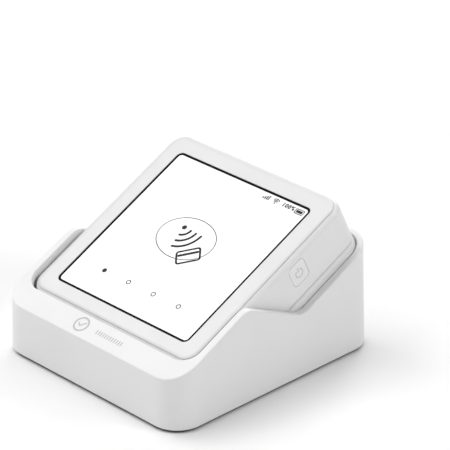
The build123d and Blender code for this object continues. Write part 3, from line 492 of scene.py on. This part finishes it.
# Page marks under it: the first one filled.
PAGE_MARKS_Y = -23.1
PAGE_MARKS_X = (-19.5, -6.7, 6.3, 19.3)
PAGE_DOT_RADIUS = 0.95
PAGE_RING_RADIUS = 0.85
PAGE_RING_LINE = 0.36
picture.disc((PAGE_MARKS_X[0], PAGE_MARKS_Y), PAGE_DOT_RADIUS)

# Status row: signal bars, wireless fan and battery.
STATUS_Y = 31.9
STATUS_FOOT = STATUS_Y - 1.0
BAR_COUNT = 4
BARS_X = 12.3
BAR_PITCH = 0.85
BAR_WIDTH = 0.55
BAR_FIRST_HEIGHT = 0.9
BAR_STEP = 0.42
BAR_RADIUS = 0.12
FAN_X = 18.3
FAN_DOT_RADIUS = 0.32
FAN_RADII = (0.85, 1.45, 2.05)
FAN_SWEEP = (48, 132)
FAN_LINE = 0.36
PERCENT_X = 24.6
PERCENT_HEIGHT = 2.4
BATTERY_X = 30.2
for step in range(BAR_COUNT):
    bar_height = BAR_FIRST_HEIGHT + BAR_STEP * step
    bar_centre = (BARS_X + BAR_PITCH * step, STATUS_FOOT + bar_height / 2)
    picture.plate(turned(rounded_box(BAR_WIDTH, bar_height, BAR_RADIUS), 0, bar_centre))
fan_foot = (FAN_X, STATUS_FOOT)
picture.disc(fan_foot, FAN_DOT_RADIUS)
for radius in FAN_RADII:
    picture.stroke(arc(fan_foot, radius, *FAN_SWEEP), FAN_LINE)
battery_centre = (BATTERY_X, STATUS_Y - 0.2)
picture.plate(turned(rounded_box(2.9, 1.2, 0.15), 0, battery_centre))
picture.finish("screen_picture", screen_plane, SCREEN_INK, "terminal")

# Finer, greyer lines of the same picture.
fine = Marks()
oval_outer = oval(OVAL_CENTRE, OVAL_SIZE, OVAL_HALF_LINE)
oval_inner = oval(OVAL_CENTRE, OVAL_SIZE, -OVAL_HALF_LINE)
fine.band(oval_outer, oval_inner)
for mark_x in PAGE_MARKS_X[1:]:
    fine.ring((mark_x, PAGE_MARKS_Y), PAGE_RING_RADIUS, PAGE_RING_LINE)
battery_case = turned(rounded_box(4.2, 2.4, 0.6), 0, battery_centre)
battery_inside = turned(rounded_box(3.5, 1.7, 0.3), 0, battery_centre)
fine.band(battery_case, battery_inside)
percent = lettering("100%", PERCENT_HEIGHT, (PERCENT_X, STATUS_Y), spacing=1.2, boldness=0.12)
for outline in percent:
    fine.plate(outline)
fine.finish("screen_fine_lines", screen_plane, FINE_INK, "terminal")

# Plain badge on the front rim: a ring with a tick, and a row of short strokes beside it.
BADGE_SET_BACK = 3.0 * MM
rim_top = extent("cradle_shell", OUTWARD)[1]
badge_up = extent("pocket_tray", UP_SLOPE)[0] - BADGE_SET_BACK
badge_plane = (
    Matrix.Translation(UP_SLOPE * badge_up + OUTWARD * rim_top)
    @ Matrix((ACROSS, UP_SLOPE, OUTWARD)).transposed().to_4x4()
)
BADGE_X = -7.3
BADGE_RADIUS = 2.9
BADGE_RING_LINE = 0.7
TICK_LINE = 0.6
STROKE_COUNT = 12
FIRST_STROKE_X = 0.9
STROKE_PITCH = 1.15
STROKE_HALF_HEIGHT = 0.75
STROKE_LINE = 0.45
badge = Marks()
badge.ring((BADGE_X, 0), BADGE_RADIUS, BADGE_RING_LINE)
badge.stroke([(BADGE_X - 1.3, 0.1), (BADGE_X - 0.3, -0.9), (BADGE_X + 1.5, 1.1)], TICK_LINE)
for step in range(STROKE_COUNT):
    stroke_x = FIRST_STROKE_X + STROKE_PITCH * step
    badge.stroke([(stroke_x, -STROKE_HALF_HEIGHT), (stroke_x, STROKE_HALF_HEIGHT)], STROKE_LINE)
badge.finish("rim_badge", badge_plane, BADGE_INK, "cradle")

# Power symbol on the key.
key_plane = face_plane("power_key", UP_SLOPE, OUTWARD, ACROSS)
SYMBOL_CENTRE = (0, -0.2)
SYMBOL_RADIUS = 1.7
SYMBOL_SWEEP = (125, 415)
SYMBOL_LINE = 0.5
symbol = Marks()
symbol.stroke(arc(SYMBOL_CENTRE, SYMBOL_RADIUS, *SYMBOL_SWEEP), SYMBOL_LINE)
symbol.stroke([(0, 0.4), (0, 1.9)], SYMBOL_LINE)
symbol.finish("key_symbol", key_plane, KEY_INK, "power_key")

# ======================================================================
# Studio: floor, light and camera
# ======================================================================


def floor_disc(radius):
    """A wide flat floor at the height of the feet."""
    mesh = bmesh.new()
    bmesh.ops.create_circle(mesh, cap_ends=True, segments=96, radius=radius)
    data = bpy.data.meshes.new("floor")
    mesh.to_mesh(data)
    mesh.free()
    shader = Shader("floor_paper")
    paper = shader.remap(shader.noise(400 * MM), 0, 1)
    shader.set(
        Base_Color=shader.mix(paper, (0.93, 0.93, 0.93), (0.94, 0.94, 0.94)),
        Roughness=0.9,
        Normal=shader.bump(shader.noise(0.6 * MM), 0.01 * MM),
        Specular_IOR_Level=0.1,
    )
    data.materials.append(shader.material)
    floor = bpy.data.objects.new("floor", data)
    bpy.context.scene.collection.objects.link(floor)
    return floor


def direction(azimuth, elevation):
    """Unit vector towards a place at that azimuth (0 in front, 90 to the right) and elevation."""
    a, e = radians(azimuth), radians(elevation)
    return Vector((sin(a) * cos(e), -cos(a) * cos(e), sin(e)))


def sun(name, azimuth, elevation, strength, spread):
    """A distant lamp; spread is its angular size in degrees."""
    light = bpy.data.lights.new(name, "SUN")
    light.energy = strength
    light.angle = radians(spread)
    lamp = bpy.data.objects.new(name, light)
    lamp.rotation_mode = "QUATERNION"
    lamp.rotation_quaternion = direction(azimuth, elevation).to_track_quat("Z", "Y")
    bpy.context.scene.collection.objects.link(lamp)
    return lamp


def surround():
    """A white surround that shows in gloss and behind the floor, while the lamps light the object."""
    world = bpy.data.worlds.new("surround")
    world.use_nodes = True
    tree = world.node_tree
    rays = tree.nodes.new("ShaderNodeLightPath")
    strength = tree.nodes.new("ShaderNodeMath")
    strength.operation = "SUBTRACT"
    strength.inputs[0].default_value = 1.0
    tree.links.new(rays.outputs["Is Diffuse Ray"], strength.inputs[1])
    backdrop = tree.nodes["Background"]
    backdrop.inputs["Color"].default_value = (1, 1, 1, 1)
    tree.links.new(strength.outputs["Value"], backdrop.inputs["Strength"])
    bpy.context.scene.world = world


# Broad, soft lamps: degrees round from the front, degrees up, strength, apparent width in degrees.
LAMPS = {
    "back_right": (120, 30, 1.15, 30),
    "back_left": (-150, 30, 0.8, 30),
    "overhead": (0, 89.9, 0.65, 60),
    "high_back_left": (-120, 70, 0.6, 30),
    "left": (-75, 50, 0.9, 30),
    "front_left": (-30, 45, 0.7, 30),
    "low_front": (15, 10, 0.5, 20),
}
FLOOR_RADIUS = 4.0
floor_disc(FLOOR_RADIUS)
surround()
for lamp_name, lamp in LAMPS.items():
    sun(lamp_name, *lamp)

# The camera stands to the right of the front, looking down at the screen.
VIEW_AZIMUTH = 45.779
VIEW_ELEVATION = 26.398
VIEW_DISTANCE = 1.0315
VIEW_CENTRE_HEIGHT = 19.38 * MM
VIEW_SIDE_SHIFT = 13.307 * MM
VIEW_UP_SHIFT = 26.414 * MM
LENS_LENGTH = 227.0
to_camera = direction(VIEW_AZIMUTH, VIEW_ELEVATION)
view_right = direction(VIEW_AZIMUTH + 90, 0)
view_up = to_camera.cross(view_right)
view_centre = Vector((0, 0, VIEW_CENTRE_HEIGHT)) + view_right * VIEW_SIDE_SHIFT + view_up * VIEW_UP_SHIFT
camera_data = bpy.data.cameras.new("camera")
camera_data.lens = LENS_LENGTH
camera_data.sensor_width = 36
camera = bpy.data.objects.new("camera", camera_data)
camera.rotation_mode = "QUATERNION"
camera.rotation_quaternion = Matrix((view_right, view_up, to_camera)).transposed().to_quaternion()
camera.location = view_centre + to_camera * VIEW_DISTANCE
bpy.context.scene.collection.objects.link(camera)
bpy.context.scene.camera = camera
bpy.context.scene.view_settings.view_transform = "Standard"
